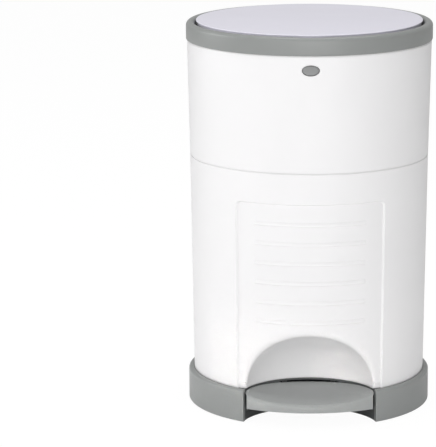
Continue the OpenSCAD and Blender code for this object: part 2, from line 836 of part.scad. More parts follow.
// Short pin of the crank, through the slot of the upper rod
module crank_pin() {
  color(steel)
  translate([0, crank_y, crank_z]) bar_x(crank_pin_d, 17);
}

lower_body();
base_ring();
anti_slip_feet();
base_screws();
pedal_tread();
pedal_lever();
pedal_screws();
pedal_pivot_pin();
lower_push_rod();
rod_return_spring();
body_hinge_pin();
cutter_holder();
cutter_blade();
upper_body();
top_ring();
chute();
chute_screws();
liner_ring();
flap_left();
flap_right();
flap_pins();
flap_springs();
upper_push_rod();
release_button();
latch_lever();
latch_pin();
latch_spring();
lid_panel();
lid_liner();
lid_seal();
lid_screws();
lid_hinge_pin();
crank_pin();
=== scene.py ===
"""A round pedal nappy bin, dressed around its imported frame. Metres, +Z up, front at -Y."""
import math

import bmesh
import bpy
import numpy as np
from mathutils import Matrix, Vector


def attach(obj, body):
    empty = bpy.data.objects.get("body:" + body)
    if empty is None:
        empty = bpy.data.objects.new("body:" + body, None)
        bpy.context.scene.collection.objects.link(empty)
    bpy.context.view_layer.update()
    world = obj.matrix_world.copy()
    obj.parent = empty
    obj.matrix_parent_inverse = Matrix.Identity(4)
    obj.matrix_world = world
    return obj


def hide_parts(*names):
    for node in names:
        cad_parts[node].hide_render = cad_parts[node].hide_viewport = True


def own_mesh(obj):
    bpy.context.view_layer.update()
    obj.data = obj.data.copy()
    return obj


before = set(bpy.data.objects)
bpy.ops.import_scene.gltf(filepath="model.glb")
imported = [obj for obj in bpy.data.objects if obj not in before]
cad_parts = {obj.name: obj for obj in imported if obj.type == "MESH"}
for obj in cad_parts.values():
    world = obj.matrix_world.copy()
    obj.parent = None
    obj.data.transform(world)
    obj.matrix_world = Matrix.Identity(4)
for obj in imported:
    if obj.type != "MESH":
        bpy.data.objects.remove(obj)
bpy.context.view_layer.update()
scene = bpy.context.scene
scene.view_settings.view_transform = "Standard"
MM = 0.001

# ---------------------------------------------------------------- camera
# The bin is seen a little from above and almost square on, right of the middle of the view.
# Distance and height come from the curves of the ring, the seam and the base.
photo_focal_px = 2818.0
photo_height_px = 447.0
bin_aside_px = 92.9
film_height = 36.0
camera_distance = 3.967
camera_height = 1.112
camera_turn = math.radians(0.75)
camera_down = math.radians(12.19)
camera_aside = math.atan(bin_aside_px / photo_focal_px)
camera_roll = math.radians(-0.26)

camera_data = bpy.data.cameras.new("camera")
camera_data.sensor_fit = "VERTICAL"
camera_data.sensor_height = camera_data.sensor_width = film_height
camera_data.lens = film_height * photo_focal_px / photo_height_px
camera_data.clip_end = 60.0
camera = bpy.data.objects.new("camera", camera_data)
scene.collection.objects.link(camera)
camera.matrix_world = (
    Matrix.Translation((-camera_distance * math.sin(camera_turn), -camera_distance * math.cos(camera_turn),
                        camera_height)) @ Matrix.Rotation(camera_aside - camera_turn, 4, "Z")
    @ Matrix.Rotation(math.pi / 2 - camera_down, 4, "X") @ Matrix.Rotation(camera_roll, 4, "Z"))
scene.camera = camera

# ---------------------------------------------------------------- floor
# A seamless white sweep under the bin. The camera sees it white, and a small share of the lamps'
# light on it keeps the bin's soft shadow.
floor_half = 9.0
floor_colour = (0.86, 0.86, 0.86, 1.0)
floor_glow = 1.02
floor_white = 0.94


def new_object(name, mesh):
    """Links a mesh to the scene under its name."""
    made = bpy.data.objects.new(name, mesh)
    scene.collection.objects.link(made)
    return made


def feed(tree, made, feeds):
    """Gives a node's inputs plain values, sockets, or the first output of other nodes."""
    for key, value in feeds.items():
        if isinstance(value, bpy.types.Node):
            value = value.outputs[0]
        if isinstance(value, bpy.types.NodeSocket):
            tree.links.new(value, made.inputs[key])
        else:
            made.inputs[key].default_value = value
    return made


def node(tree, kind, feeds=(), **settings):
    """Adds a node, sets its properties and feeds its inputs."""
    made = tree.nodes.new(kind)
    for key, value in settings.items():
        setattr(made, key, value)
    return feed(tree, made, dict(feeds))


def new_material(name):
    """A material with its tree and its main shader."""
    made = bpy.data.materials.new(name)
    made.use_nodes = True
    return made, made.node_tree, made.node_tree.nodes["Principled BSDF"]


floor_mesh = bpy.data.meshes.new("floor")
floor_mesh.from_pydata([(x * floor_half, y * floor_half, 0) for x, y in ((-1, -1), (1, -1), (1, 1), (-1, 1))],
                       [], [(0, 1, 2, 3)])
floor = new_object("floor", floor_mesh)
floor_paint, tree, shader = new_material("studio_floor")
feed(tree, shader, {"Base Color": floor_colour, "Roughness": 0.85})
glow = node(tree, "ShaderNodeEmission", {"Color": (1, 1, 1, 1), "Strength": floor_glow})
seen = node(tree, "ShaderNodeLightPath")
share = node(tree, "ShaderNodeMath", {0: seen.outputs["Is Camera Ray"], 1: floor_white}, operation="MULTIPLY")
mix = node(tree, "ShaderNodeMixShader", {0: share, 1: shader, 2: glow})
feed(tree, tree.nodes["Material Output"], {"Surface": mix})
floor_mesh.materials.append(floor_paint)

# ---------------------------------------------------------------- studio light
# Large soft boxes at the left side and the left front, two in front and one above, two narrow warm
# beams into the sides of the foot recess, and a pale room that looks white behind the bin.
room_strength = 0.40
room_seen = 1.0
beam_spread = math.radians(5.0)
beam_colour = (1.0, 0.96, 0.89)


def soft_box(name, place, aim, size, power):
    """A square area lamp that looks at a point."""
    data = bpy.data.lights.new(name, "AREA")
    data.shape = "RECTANGLE"
    data.size, data.size_y = size
    data.energy = power
    lamp = bpy.data.objects.new(name, data)
    scene.collection.objects.link(lamp)
    lamp.location = place
    lamp.rotation_euler = (Vector(aim) - Vector(place)).to_track_quat("-Z", "Y").to_euler()
    return lamp


for name, place, aim_z, size, power in (
        ("left_side", (-3.8, 0.5, 1.5), 0.3, (2.2, 2.4), 49),
        ("left_front", (-2.0, -3.6, 1.5), 0.3, (2.0, 2.0), 29),
        ("front", (0.4, -4.0, 1.7), 0.3, (2.6, 1.4), 26),
        ("low_front", (0.4, -3.6, 0.5), 0.2, (2.6, 0.8), 24),
        ("top_soft", (0.1, 0.2, 3.2), 0.4, (2.2, 2.4), 44)):
    soft_box(name, place, (0, 0, aim_z), size, power)
for side, power in ((-1, 0.0175), (1, 0.0030)):
    recess_fill = soft_box("recess_fill", (side * 1.42, -1.13, 0.14), (-side * 0.071, -0.108, 0.067),
                           (0.24, 0.12), power)
    recess_fill.data.spread = beam_spread
    recess_fill.data.color = beam_colour

world = bpy.data.worlds.new("room")
scene.world = world
world.use_nodes = True
tree = world.node_tree
seen = node(tree, "ShaderNodeLightPath")
through = node(tree, "ShaderNodeMath", {0: seen.outputs["Is Camera Ray"], 1: seen.outputs["Is Transmission Ray"]},
               operation="MAXIMUM")
level = node(tree, "ShaderNodeMapRange", {"Value": through, "To Min": room_strength,
                                          "To Max": room_seen})
feed(tree, tree.nodes["Background"], {"Color": (1, 1, 1, 1), "Strength": level})

# ---------------------------------------------------------------- lower shell
# The lower half of the body: one white injection moulding about 3 mm thick, with a sunk front
# panel and a domed foot recess. It slips into the base ring and is held there by four screws.
seam_z = 360.0
seam_gap = 1.2
seam_r = 170.0
base_h = 46.0
foot_r = 165.5
wall = 3.0
lip_round = 0.8
recess_y = -172.0
recess_r = 97.0
arch_h = 82.0
recess_round = (9.0, 12.0)
recess_round_rise = 55
panel_angle = math.radians(37.8)
panel_top = 316.4
panel_deep = 2.8
panel_corner = 9.0
panel_edge = 0.8


def body_r(z):
    """Outer radius of the lower shell at height z, in millimetres."""
    return foot_r + (seam_r - foot_r) * (z - base_h) / (seam_z - base_h)


def smooth(low, high, x):
    """Rises from 0 to 1 between two values."""
    t = min(1.0, max(0.0, (x - low) / (high - low)))
    return t * t * (3 - 2 * t)


def panel_depth(angle, z):
    """How deep the sunk panel lies at an angle from the front and a height."""
    side = body_r(z) * (abs(angle) - panel_angle)
    top = z - panel_top
    dx, dz = side + panel_corner, top + panel_corner
    outside = math.hypot(max(dx, 0), max(dz, 0)) + min(max(dx, dz), 0) - panel_corner
    return panel_deep * smooth(-panel_edge, panel_edge, -outside)


def shade(mesh, sharp):
    """Smooth shading but for edges over an angle in degrees."""
    mesh.shade_smooth()
    mesh.set_sharp_from_angle(angle=math.radians(sharp))


def plain_mesh(name, points, faces, sharp=38):
    """A welded mesh with outward faces, smooth but for its sharp edges. Points in millimetres."""
    mesh = bpy.data.meshes.new(name)
    mesh.from_pydata([tuple(c * MM for c in p) for p in points], [], faces)
    work = bmesh.new()
    work.from_mesh(mesh)
    bmesh.ops.remove_doubles(work, verts=work.verts, dist=1e-6)
    bmesh.ops.dissolve_degenerate(work, edges=work.edges, dist=1e-7)
    bmesh.ops.recalc_face_normals(work, faces=work.faces)
    work.to_mesh(mesh)
    work.free()
    shade(mesh, sharp)
    return mesh


def grid_faces(rows, wide, ring=False, turn=False):
    """Quads between rows of points; ring joins a row's ends, turn joins the last row to the first."""
    faces = []
    for i in range(rows if turn else rows - 1):
        here, above = i * wide, (i + 1) % rows * wide
        for j in range(wide if ring else wide - 1):
            k = (j + 1) % wide
            faces.append((here + j, here + k, above + k, above + j))
    return faces


def mirrored(line):
    """A line of points on the other side of the middle plane, in the opposite order."""
    return [(-x, y, z) for x, y, z in line][::-1]


def baked(made):
    """Turns an object with modifiers into a plain mesh."""
    graph = bpy.context.evaluated_depsgraph_get()
    mesh = bpy.data.meshes.new_from_object(made.evaluated_get(graph))
    made.modifiers.clear()
    made.data = mesh
    return made


def walled(made, thickness):
    """Gives a skin its wall on the inside and leaves it as a plain mesh."""
    thick = made.modifiers.new("wall", "SOLIDIFY")
    thick.thickness = thickness * MM
    thick.offset = -1.0
    baked(made)


def recess_edge():
    """Where the recess cuts the outer skin on the right: evenly spaced points from low to apex."""
    fine, fine_steps, edge_points = [], 2000, 84
    for i in range(fine_steps + 1):
        lat = math.pi / 2 * i / fine_steps
        r, z = recess_r * math.cos(lat), base_h + arch_h * math.sin(lat)
        big = body_r(z)
        y = (r * r - big * big - recess_y * recess_y) / (-2 * recess_y)
        if abs(y) > big:
            break
        fine.append((math.sqrt(big * big - y * y), y, z))
    last = fine[-1]
    fine.append((0.0, -body_r(last[2]), last[2]))
    fine = np.array(fine)
    run = np.concatenate([[0], np.cumsum(np.linalg.norm(np.diff(fine, axis=0), axis=1))])
    even = np.linspace(0, run[-1], edge_points)
    return np.stack([np.interp(even, run, fine[:, k]) for k in range(3)], axis=1)


def on_skin(p):
    """The nearest point of the outer skin at the same height."""
    a = math.atan2(p[0], -p[1])
    r = body_r(p[2]) - panel_depth(a, p[2])
    return np.array([r * math.sin(a), -r * math.cos(a), p[2]])


def on_recess(p):
    """The nearest point of the recess dome."""
    r = math.hypot(p[0], p[1] - recess_y)
    a = math.atan2(p[0], p[1] - recess_y)
    lat = math.atan2(max(p[2] - base_h, 0.0) / arch_h, r / recess_r)
    z = p[2] if p[2] < base_h else base_h + arch_h * math.sin(lat)
    r = recess_r * math.cos(lat)
    return np.array([r * math.sin(a), recess_y + r * math.cos(a), z])


def rounded_edge(edge, i):
    """Points that lead from the skin over the rounded edge into the recess, for one edge point."""
    p = edge[i]
    tangent = edge[min(i + 1, len(edge) - 1)] - edge[max(i - 1, 0)]
    if i == len(edge) - 1:
        tangent = np.array([-1.0, 0, 0])
    tangent = tangent / np.linalg.norm(tangent)
    skin_normal = np.array([p[0], p[1], 0.0]) / math.hypot(p[0], p[1])
    dome_normal = np.array([p[0] / recess_r ** 2, (p[1] - recess_y) / recess_r ** 2,
                            max(p[2] - base_h, 0.0) / arch_h ** 2])
    dome_normal = dome_normal / np.linalg.norm(dome_normal)
    out = np.cross(tangent, skin_normal)
    if np.dot(out, dome_normal) < 0:
        out = -out
    inward = np.cross(tangent, dome_normal)
    if np.dot(inward, skin_normal) > 0:
        inward = -inward
    low_round, high_round = recess_round
    reach = low_round + (high_round - low_round) * smooth(base_h, base_h + recess_round_rise, p[2])
    first = on_skin(p + reach * out / np.linalg.norm(out))
    last = on_recess(p + reach * inward / np.linalg.norm(inward))
    middle = on_skin(p)
    steps = np.linspace(0, 1, 9)[:, None]
    return (1 - steps) ** 2 * first + 2 * steps * (1 - steps) * middle + steps ** 2 * last


edge = recess_edge()
front_columns = 56
dome_columns = 40
side_angles = np.radians(np.concatenate([np.arange(36.7, 38.4, 0.2), [38.6, 39.2], np.linspace(40, 180, 71)]))


def side_row(start, z):
    """Skin points on the right, from a start angle to the back, at one height."""
    angles = np.concatenate([np.linspace(start, side_angles[0], front_columns, endpoint=False), side_angles])
    return [((body_r(z) - panel_depth(a, z)) * math.sin(a), -(body_r(z) - panel_depth(a, z)) * math.cos(a), z)
            for a in angles]


rows = []
for i in range(len(edge)):
    bend = rounded_edge(edge, i)
    if i == 0:
        bend[:, 2] = base_h
    side = side_row(math.atan2(bend[0][0], -bend[0][1]), bend[0][2])
    x, y, z = bend[-1]
    r, half = math.hypot(x, y - recess_y), math.atan2(x, y - recess_y)
    dome = [(r * math.sin(a), recess_y + r * math.cos(a), z) for a in np.linspace(-half, half, dome_columns)]
    right = [tuple(p) for p in bend[1:-1]][::-1] + side
    rows.append(mirrored(right) + dome + right)
apex_z = rows[-1][-1][2]
upper_z = np.concatenate([np.arange(apex_z, 300, 6.0), np.arange(300, 313, 1.5),
                          np.arange(313.4, 319.4, 0.35), np.arange(320, 356, 6.0), [357.5]])
upper_rows = [side_row(0.0, z) for z in upper_z]
for a in np.radians([0, 25, 50, 75, 90]):
    z = seam_z - seam_gap / 2 - lip_round + lip_round * math.sin(a)
    share = 1 - lip_round * (1 - math.cos(a)) / seam_r
    upper_rows.append([(x * share, y * share, z) for x, y, z in side_row(0.0, z)])
upper_rows = [mirrored(right) + right[1:] for right in upper_rows]
points = [p for row in rows + upper_rows for p in row]
faces = grid_faces(len(rows), len(rows[0]))
base = len(rows) * len(rows[0])
faces += [tuple(base + k for k in face) for face in grid_faces(len(upper_rows), len(upper_rows[0]))]
lower_skin = new_object("lower_shell", plain_mesh("lower_shell", points, faces))
walled(lower_skin, wall)


def moulded_group():
    """Shader group: the slight cloudiness, fine grain and uneven gloss of an injection moulding, and a lighter
    tint on rounded edges that is partly edge wear and partly painted highlight.
    """
    group = bpy.data.node_groups.new("moulded_surface", "ShaderNodeTree")
    for way, kind, names in (
            ("INPUT", "NodeSocketColor", ("Colour", "Shade Colour", "Edge Colour")),
            ("INPUT", "NodeSocketFloat", ("Cloud Scale", "Grain Scale", "Gloss Low", "Gloss High", "Edge Width",
                                          "Edge Amount")),
            ("OUTPUT", "NodeSocketColor", ("Colour",)), ("OUTPUT", "NodeSocketFloat", ("Roughness", "Height"))):
        for name in names:
            group.interface.new_socket(name=name, in_out=way, socket_type=kind)
    given = node(group, "NodeGroupInput").outputs
    place = node(group, "ShaderNodeTexCoord").outputs["Object"]
    cloud = node(group, "ShaderNodeTexNoise", {"Vector": place, "Scale": given["Cloud Scale"], "Detail": 4})
    grain = node(group, "ShaderNodeTexNoise", {"Vector": place, "Scale": given["Grain Scale"], "Detail": 2})
    middle = {"Value": cloud, "From Min": 0.3, "From Max": 0.7}
    contrast = node(group, "ShaderNodeMapRange", middle)
    gloss = node(group, "ShaderNodeMapRange", {**middle, "To Min": given["Gloss Low"],
                                               "To Max": given["Gloss High"]})
    tint = node(group, "ShaderNodeMix", {0: contrast, 6: given["Colour"], 7: given["Shade Colour"]},
                data_type="RGBA")
    # Rounded edges are tinted lighter: partly edge wear, partly a painted highlight.
    soft = node(group, "ShaderNodeBevel", {"Radius": given["Edge Width"]}, samples=4)
    true_normal = node(group, "ShaderNodeNewGeometry").outputs["Normal"]
    turn = node(group, "ShaderNodeVectorMath", {0: soft, 1: true_normal}, operation="DOT_PRODUCT")
    wear_and_highlight_mask = node(group, "ShaderNodeMapRange", {"Value": turn.outputs["Value"], "From Min": 1.0, "From Max": 0.86})
    amount = node(group, "ShaderNodeMath", {0: wear_and_highlight_mask, 1: given["Edge Amount"]}, operation="MULTIPLY")
    wear_and_highlight_tint = node(group, "ShaderNodeMix", {0: amount, 6: tint.outputs[2], 7: given["Edge Colour"]},
                  data_type="RGBA")
    node(group, "NodeGroupOutput", {"Colour": wear_and_highlight_tint.outputs[2], "Roughness": gloss,
                                    "Height": grain})
    return group


moulding = moulded_group()


def plastic(name, colour, gloss=(0.36, 0.44), grain=900.0, depth=0.00004, edge_wear_and_highlight=0.06, coat=0.0):
    """A moulded plastic: its colour, its gloss between two roughnesses, and its grain size and depth."""
    made, tree, shader = new_material(name)
    shade_share, edge_share = 0.975, 0.5
    group = node(tree, "ShaderNodeGroup", {
        "Colour": (*colour, 1), "Shade Colour": (*[c * shade_share for c in colour], 1),
        "Edge Colour": (*[c + (1 - c) * edge_share for c in colour], 1), "Cloud Scale": 9.0,
        "Grain Scale": grain, "Gloss Low": gloss[0], "Gloss High": gloss[1], "Edge Width": 0.0012,
        "Edge Amount": edge_wear_and_highlight}, node_tree=moulding)
    bump = node(tree, "ShaderNodeBump", {"Strength": 0.25, "Distance": depth, "Height": group.outputs["Height"]})
    feed(tree, shader, {
        "Base Color": group.outputs["Colour"], "Roughness": group.outputs["Roughness"],
        "Normal": bump.outputs["Normal"], "IOR": 1.47, "Coat Weight": coat, "Coat Roughness": 0.12})
    return made


shell_white = plastic("shell_white", (0.838, 0.832, 0.838), coat=0.15)
inner_white = plastic("inner_white", (0.80, 0.80, 0.79), gloss=(0.48, 0.56), grain=1400.0)


def dress(made, paint):
    """Gives a piece one material."""
    made.data.materials.clear()
    made.data.materials.append(paint)


def joined(name, meshes):
    """One object of several closed meshes."""
    work = bmesh.new()
    for mesh in meshes:
        work.from_mesh(mesh)
    mesh = bpy.data.meshes.new(name)
    work.to_mesh(mesh)
    work.free()
    return new_object(name, mesh)


def prism(name, outline, low, high, edge=0.4):
    """An upright prism over an outline, its edges rounded. Millimetres."""
    n = len(outline)
    points = [(x, y, low) for x, y in outline] + [(x, y, high) for x, y in outline]
    faces = [tuple(range(n))[::-1], tuple(range(n, 2 * n))] + grid_faces(2, n, ring=True)
    return eased(name, points, faces, edge)


def eased(name, points, faces, edge, sharp=30):
    """A closed mesh with its sharp edges rounded a little. Its large end faces are cut into triangles."""
    mesh = plain_mesh(name, points, faces, sharp)
    work = bmesh.new()
    work.from_mesh(mesh)
    corners = [e for e in work.edges if e.is_manifold and e.calc_face_angle(0) > math.radians(sharp)]
    if edge > 0:
        bmesh.ops.bevel(work, geom=corners, offset=edge * MM, segments=2, profile=0.5, affect="EDGES",
                        clamp_overlap=True)
    bmesh.ops.triangulate(work, faces=[f for f in work.faces if len(f.verts) > 4])
    work.to_mesh(mesh)
    work.free()
    shade(mesh, sharp)
    return mesh


def block(name, low, high, edge=0.4):
    """A box between two corners with rounded edges. Millimetres."""
    (x, y, z), (far_x, far_y, far_z) = low, high
    return prism(name, [(x, y), (far_x, y), (far_x, far_y), (x, far_y)], z, far_z, edge)


def side_block(name, side, near, far, low, high, edge=0.4):
    """A block on one side: two distances from the middle plane, then its low and high Y and Z."""
    x, far_x = sorted((side * near, side * far))
    return block(name, (x, *low), (far_x, *high), edge)


def bar(name, centre, axis, r, length):
    """A round bar along X, Y or Z. Millimetres."""
    sides, edge = 40, 0.3
    outline = [(r * math.cos(a), r * math.sin(a)) for a in np.linspace(0, 2 * math.pi, sides, endpoint=False)]
    mesh = prism(name, outline, -length / 2, length / 2, edge)
    turn = {"X": Matrix.Rotation(math.pi / 2, 4, "Y"), "Y": Matrix.Rotation(math.pi / 2, 4, "X"),
            "Z": Matrix.Identity(4)}[axis]
    mesh.transform(Matrix.Translation(Vector(centre) * MM) @ turn)
    return mesh


def lathe(name, profile, start=0.0, end=360.0, steps=180, sharp=38):
    """A closed profile of radius and height turned about the axis, angles measured from the front."""
    whole = end - start > 359.9
    angles = np.radians(np.linspace(start, end, steps + 1))
    if whole:
        angles = angles[:-1]
    n = len(profile)
    points = [(r * math.sin(a), -r * math.cos(a), z) for a in angles for r, z in profile]
    faces = grid_faces(len(angles), n, ring=True, turn=whole)
    if not whole:
        faces += [tuple(range(n)), tuple(range(len(points) - n, len(points)))[::-1]]
    return plain_mesh(name, points, faces, sharp)


def rounded(corners, steps=5):
    """A closed profile from corners (radius, height, rounding). No rounding takes up half a side."""
    out, most = [], 0.48
    n = len(corners)
    for i, (x, y, r) in enumerate(corners):
        if r <= 0:
            out.append((x, y))
            continue
        here = np.array([x, y], float)
        back = np.array(corners[i - 1][:2], float) - here
        on = np.array(corners[(i + 1) % n][:2], float) - here
        back_run, on_run = np.linalg.norm(back), np.linalg.norm(on)
        back, on = back / back_run, on / on_run
        half = math.acos(max(-1.0, min(1.0, float(np.dot(back, on))))) / 2
        reach = min(r / math.tan(half), most * back_run, most * on_run)
        r = reach * math.tan(half)
        middle = here + (back + on) / np.linalg.norm(back + on) * r / math.sin(half)
        first, last = (math.atan2(p[1], p[0]) for p in (here + back * reach - middle, here + on * reach - middle))
        turn = (last - first + math.pi) % (2 * math.pi) - math.pi
        out += [(middle[0] + r * math.cos(a), middle[1] + r * math.sin(a))
                for a in (first + turn * k / steps for k in range(steps + 1))]
    return out


def notch_angle(r, cutter):
    """Angle from the front at which a circle about the axis meets a circle about the recess line."""
    y = (cutter ** 2 - r ** 2 - recess_y ** 2) / (-2 * recess_y)
    return math.acos(max(-1.0, min(1.0, -y / r)))


arc_points = 40


def recess_arc(r, first, last):
    """Points at a distance from the recess line, between two angles in degrees."""
    angles = np.radians(np.linspace(first, last, arc_points))
    return [(r * math.sin(a), recess_y + r * math.cos(a)) for a in angles]


def notched_disc(r, cutter, steps):
    """Outline of a round plate that leaves the recess free."""
    free_r = recess_r + 1
    cut = notch_angle(r, cutter)
    end = math.degrees(math.asin(r * math.sin(cut) / free_r))
    rim = [(r * math.sin(a), -r * math.cos(a)) for a in np.linspace(cut, 2 * math.pi - cut, steps)]
    return rim + recess_arc(free_r, -end, end)[1:-1]


rod_y = 134.0
channel_front = 124.0
channel_wall = 2.5
guide_thick = 6


def channel(name, half, low, high, reach):
    """The upright U of the rod channel at the back."""
    inner, front = half - channel_wall, channel_front + channel_wall
    return prism(name, [(-half, reach), (-half, channel_front), (half, channel_front), (half, reach),
                        (inner, reach), (inner, front), (-inner, front), (-inner, reach)], low, high)


def guide(name, z, half_x, half_y, reach):
    """A plate across the channel with a square hole for the rod."""
    front, side, low, high = channel_front + 0.5, 11.5, rod_y - half_y, rod_y + half_y
    return [block(name, (x, y, z), (far_x, far_y, z + guide_thick), 0.15) for x, y, far_x, far_y in (
        (-side, front, side, low), (-side, high, side, reach), (-side, low, -half_x, high),
        (half_x, low, side, high))]


lip_r = seam_r - wall - 0.6
lip = rounded([(lip_r - 2, seam_z - 14, 0), (lip_r + 1.2, seam_z - 16, 0), (lip_r + 1.2, seam_z - 1.5, 0.3),
               (lip_r, seam_z - 1.5, 0.3), (lip_r, seam_z + 8, 1.0), (lip_r - 2, seam_z + 8, 0.5)], 3)
catch_gap_half, hinge_gap_half = 14, 46
lip_front = math.degrees(math.asin(catch_gap_half / lip_r))
lip_back = 180 - math.degrees(math.asin(hinge_gap_half / lip_r))
floor_z, floor_r = 52.0, 163.5
waist_y = seam_r + 0.2
knuckle_r = 4.5
catch_low, catch_top = 332, 366
groove_floor = [(seam_r - 3.4, seam_z - 2), (seam_r - 1.0, seam_z - 2), (seam_r - 1.0, seam_z + 0.35),
                (seam_r - 3.4, seam_z + 0.35)]
skirt = rounded([(162.0, 8, 0.5), (165.0, 8, 0.5), (165.0, 45, 0), (162.0, 45, 0)], 2)
inside = [lathe("groove_floor", groove_floor), lathe("lip", lip, lip_front, lip_back, 90),
          lathe("lip", lip, 360 - lip_back, 360 - lip_front, 90),
          prism("floor_plate", notched_disc(floor_r, recess_r, 120), floor_z, floor_z + 3, 0.3),
          channel("lower_channel", 12.0, floor_z + 2, 200, 163.9),
          channel("lower_channel", 12.0, 199.5, seam_z - 8, 166.0)]
inside += guide("lower_guide", 120, 3.8, 3.8, 164) + guide("lower_guide", 330, 3.8, 3.8, 166)
inside.append(lathe("skirt", skirt, 36, 324, 140))
for side in (-1, 1):
    inside += [bar("knuckle", (side * 36, waist_y, seam_z), "X", knuckle_r, 12),
               side_block("knuckle_foot", side, 30, 42, (waist_y - 10, seam_z - 9), (waist_y, seam_z)),
               side_block("pivot_lug", side, 32, 38, (-37, 25), (-23, 53)),
               side_block("catch_side", side, 10, 13, (-167.4, catch_low), (-153, catch_top))]
for y, z, far_y, far_z in ((-155.2, catch_low, -152.2, 350.5), (-155.2, 357.5, -152.2, catch_top),
                           (-167.2, catch_low, -152.4, catch_low + 3)):
    inside.append(block("catch_plate", (-12, y, z), (12, far_y, far_z)))
for x, y in ((118, 45), (-118, 45), (84, -62), (-84, -62)):
    inside.append(bar("screw_boss", (x, y, 28), "Z", 5.5, 48))
lower_inside = joined("lower_inside", inside)
for piece in (lower_skin, lower_inside):
    dress(piece, shell_white)
    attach(piece, "lower_section")
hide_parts("lower_body")

# ---------------------------------------------------------------- panel beads
# Six shallow beads stiffen the sunk panel. They belong to the same moulding as the lower shell
# and run out before the panel's sides.
bead_count = 6
bead_first_z = 288.0
bead_pitch = 28.0
bead_half_angle = math.radians(27.4)
bead_height = 6.4
bead_proud = 1.9
bead_droop = 0.75
bead_end_rise = 26.0


def geometry_tree(name, inputs):
    """An empty Geometry Nodes tree with named inputs, and the outputs of its input node."""
    made = bpy.data.node_groups.new(name, "GeometryNodeTree")
    kinds = {float: "NodeSocketFloat", int: "NodeSocketInt", bpy.types.Material: "NodeSocketMaterial"}
    for key, kind in inputs.items():
        made.interface.new_socket(name=key, in_out="INPUT", socket_type=kinds[kind])
    made.interface.new_socket(name="Geometry", in_out="OUTPUT", socket_type="NodeSocketGeometry")
    return made, node(made, "NodeGroupInput").outputs


def finish_tree(tree, shape, given):
    """Ends a tree with real geometry in one material."""
    real = node(tree, "GeometryNodeRealizeInstances", {0: shape})
    paint = node(tree, "GeometryNodeSetMaterial", {"Geometry": real, "Material": given["Material"]})
    node(tree, "NodeGroupOutput", {"Geometry": paint})


def grown(name, tree, values):
    """The plain mesh that a tree makes from its named values."""
    made = new_object(name, bpy.data.meshes.new(name))
    modifier = made.modifiers.new(name, "NODES")
    modifier.node_group = tree
    for item in tree.interface.items_tree:
        if item.in_out == "INPUT" and item.name in values:
            modifier[item.identifier] = values[item.name]
    return baked(made)


bead_tree, given = geometry_tree("panel_beads", {
    "Count": int, "First Height": float, "Pitch": float, "Half Angle": float, "Bead Height": float,
    "Proud": float, "Droop": float, "End Rise": float, "Low Radius": float, "Slope": float,
    "Material": bpy.types.Material})


def reckon(operation, a, b=None):
    """A Math node in the beads' tree, on one or two values or nodes."""
    feeds = {0: a} if b is None else {0: a, 1: b}
    return node(bead_tree, "ShaderNodeMath", feeds, operation=operation)


strip = node(bead_tree, "GeometryNodeCurvePrimitiveLine", {"End": (1, 0, 0)})
fine = node(bead_tree, "GeometryNodeResampleCurve", {"Curve": strip, "Count": 61})
many = node(bead_tree, "GeometryNodeDuplicateElements", {"Geometry": fine, "Amount": given["Count"]},
            domain="SPLINE")
along = node(bead_tree, "GeometryNodeSplineParameter").outputs["Factor"]
across = reckon("SUBTRACT", reckon("MULTIPLY", along, 2.0), 1.0)
angle = reckon("MULTIPLY", across, given["Half Angle"])
height = reckon("SUBTRACT", given["First Height"],
                reckon("MULTIPLY", many.outputs["Duplicate Index"], given["Pitch"]))
radius = reckon("ADD", given["Low Radius"], reckon("MULTIPLY", height, given["Slope"]))
place = node(bead_tree, "ShaderNodeCombineXYZ", {
    0: reckon("MULTIPLY", radius, reckon("SINE", angle)),
    1: reckon("MULTIPLY", radius, reckon("MULTIPLY", reckon("COSINE", angle), -1.0)), 2: height})
put = node(bead_tree, "GeometryNodeSetPosition", {"Geometry": many, "Position": place})
taper = reckon("MINIMUM", 1.0, reckon("MULTIPLY", reckon("SUBTRACT", 1.0, reckon("ABSOLUTE", across)),
                                      given["End Rise"]))
swell = node(bead_tree, "GeometryNodeSetCurveRadius", {
    "Curve": put, "Radius": reckon("MAXIMUM", reckon("SQRT", taper), 0.02)})
section = node(bead_tree, "GeometryNodeCurvePrimitiveCircle", {"Resolution": 20}, mode="RADIUS")
split = node(bead_tree, "ShaderNodeSeparateXYZ", {
    0: node(bead_tree, "GeometryNodeInputPosition")}).outputs
out_x = reckon("MULTIPLY", reckon("MULTIPLY", split[0], reckon("ABSOLUTE", split[0])), given["Proud"])
out_y = reckon("MULTIPLY", split[1], reckon("MULTIPLY", given["Bead Height"], 0.5))
size = node(bead_tree, "ShaderNodeCombineXYZ", {
    0: out_x, 1: reckon("ADD", out_y, reckon("MULTIPLY", out_x, given["Droop"]))})
flat = node(bead_tree, "GeometryNodeSetPosition", {"Geometry": section, "Position": size})
bead = node(bead_tree, "GeometryNodeCurveToMesh", {
    "Curve": swell, "Profile Curve": flat, "Fill Caps": True})
finish_tree(bead_tree, bead, given)
bead_slope = (seam_r - foot_r) / (seam_z - base_h)
beads = grown("panel_beads", bead_tree, {
    "Count": bead_count, "First Height": bead_first_z * MM, "Pitch": bead_pitch * MM,
    "Half Angle": bead_half_angle, "Bead Height": bead_height * MM, "Proud": bead_proud * MM,
    "Droop": bead_droop, "End Rise": bead_end_rise,
    "Low Radius": (foot_r - bead_slope * base_h - panel_deep) * MM, "Slope": bead_slope,
    "Material": shell_white})
beads.data.shade_smooth()
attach(beads, "lower_section")

# ---------------------------------------------------------------- base ring
# The grey foot of the bin: a moulded ring with a rounded shoulder and a bottom plate, open at the
# front under the pedal. Screws from below fix it to the lower shell.
ring_out = 173.4
ring_in = 165.65
ring_low = 0.4
shoulder = 8.0
plate_r = 166.0
notch_half, window_half = 91.0, 41.0
ring_steps = 200
ring_sharp = 32
trim_grey = plastic("trim_grey", (0.272, 0.282, 0.278), gloss=(0.32, 0.40), grain=1100.0, depth=0.00005,
                    edge_wear_and_highlight=0.10)
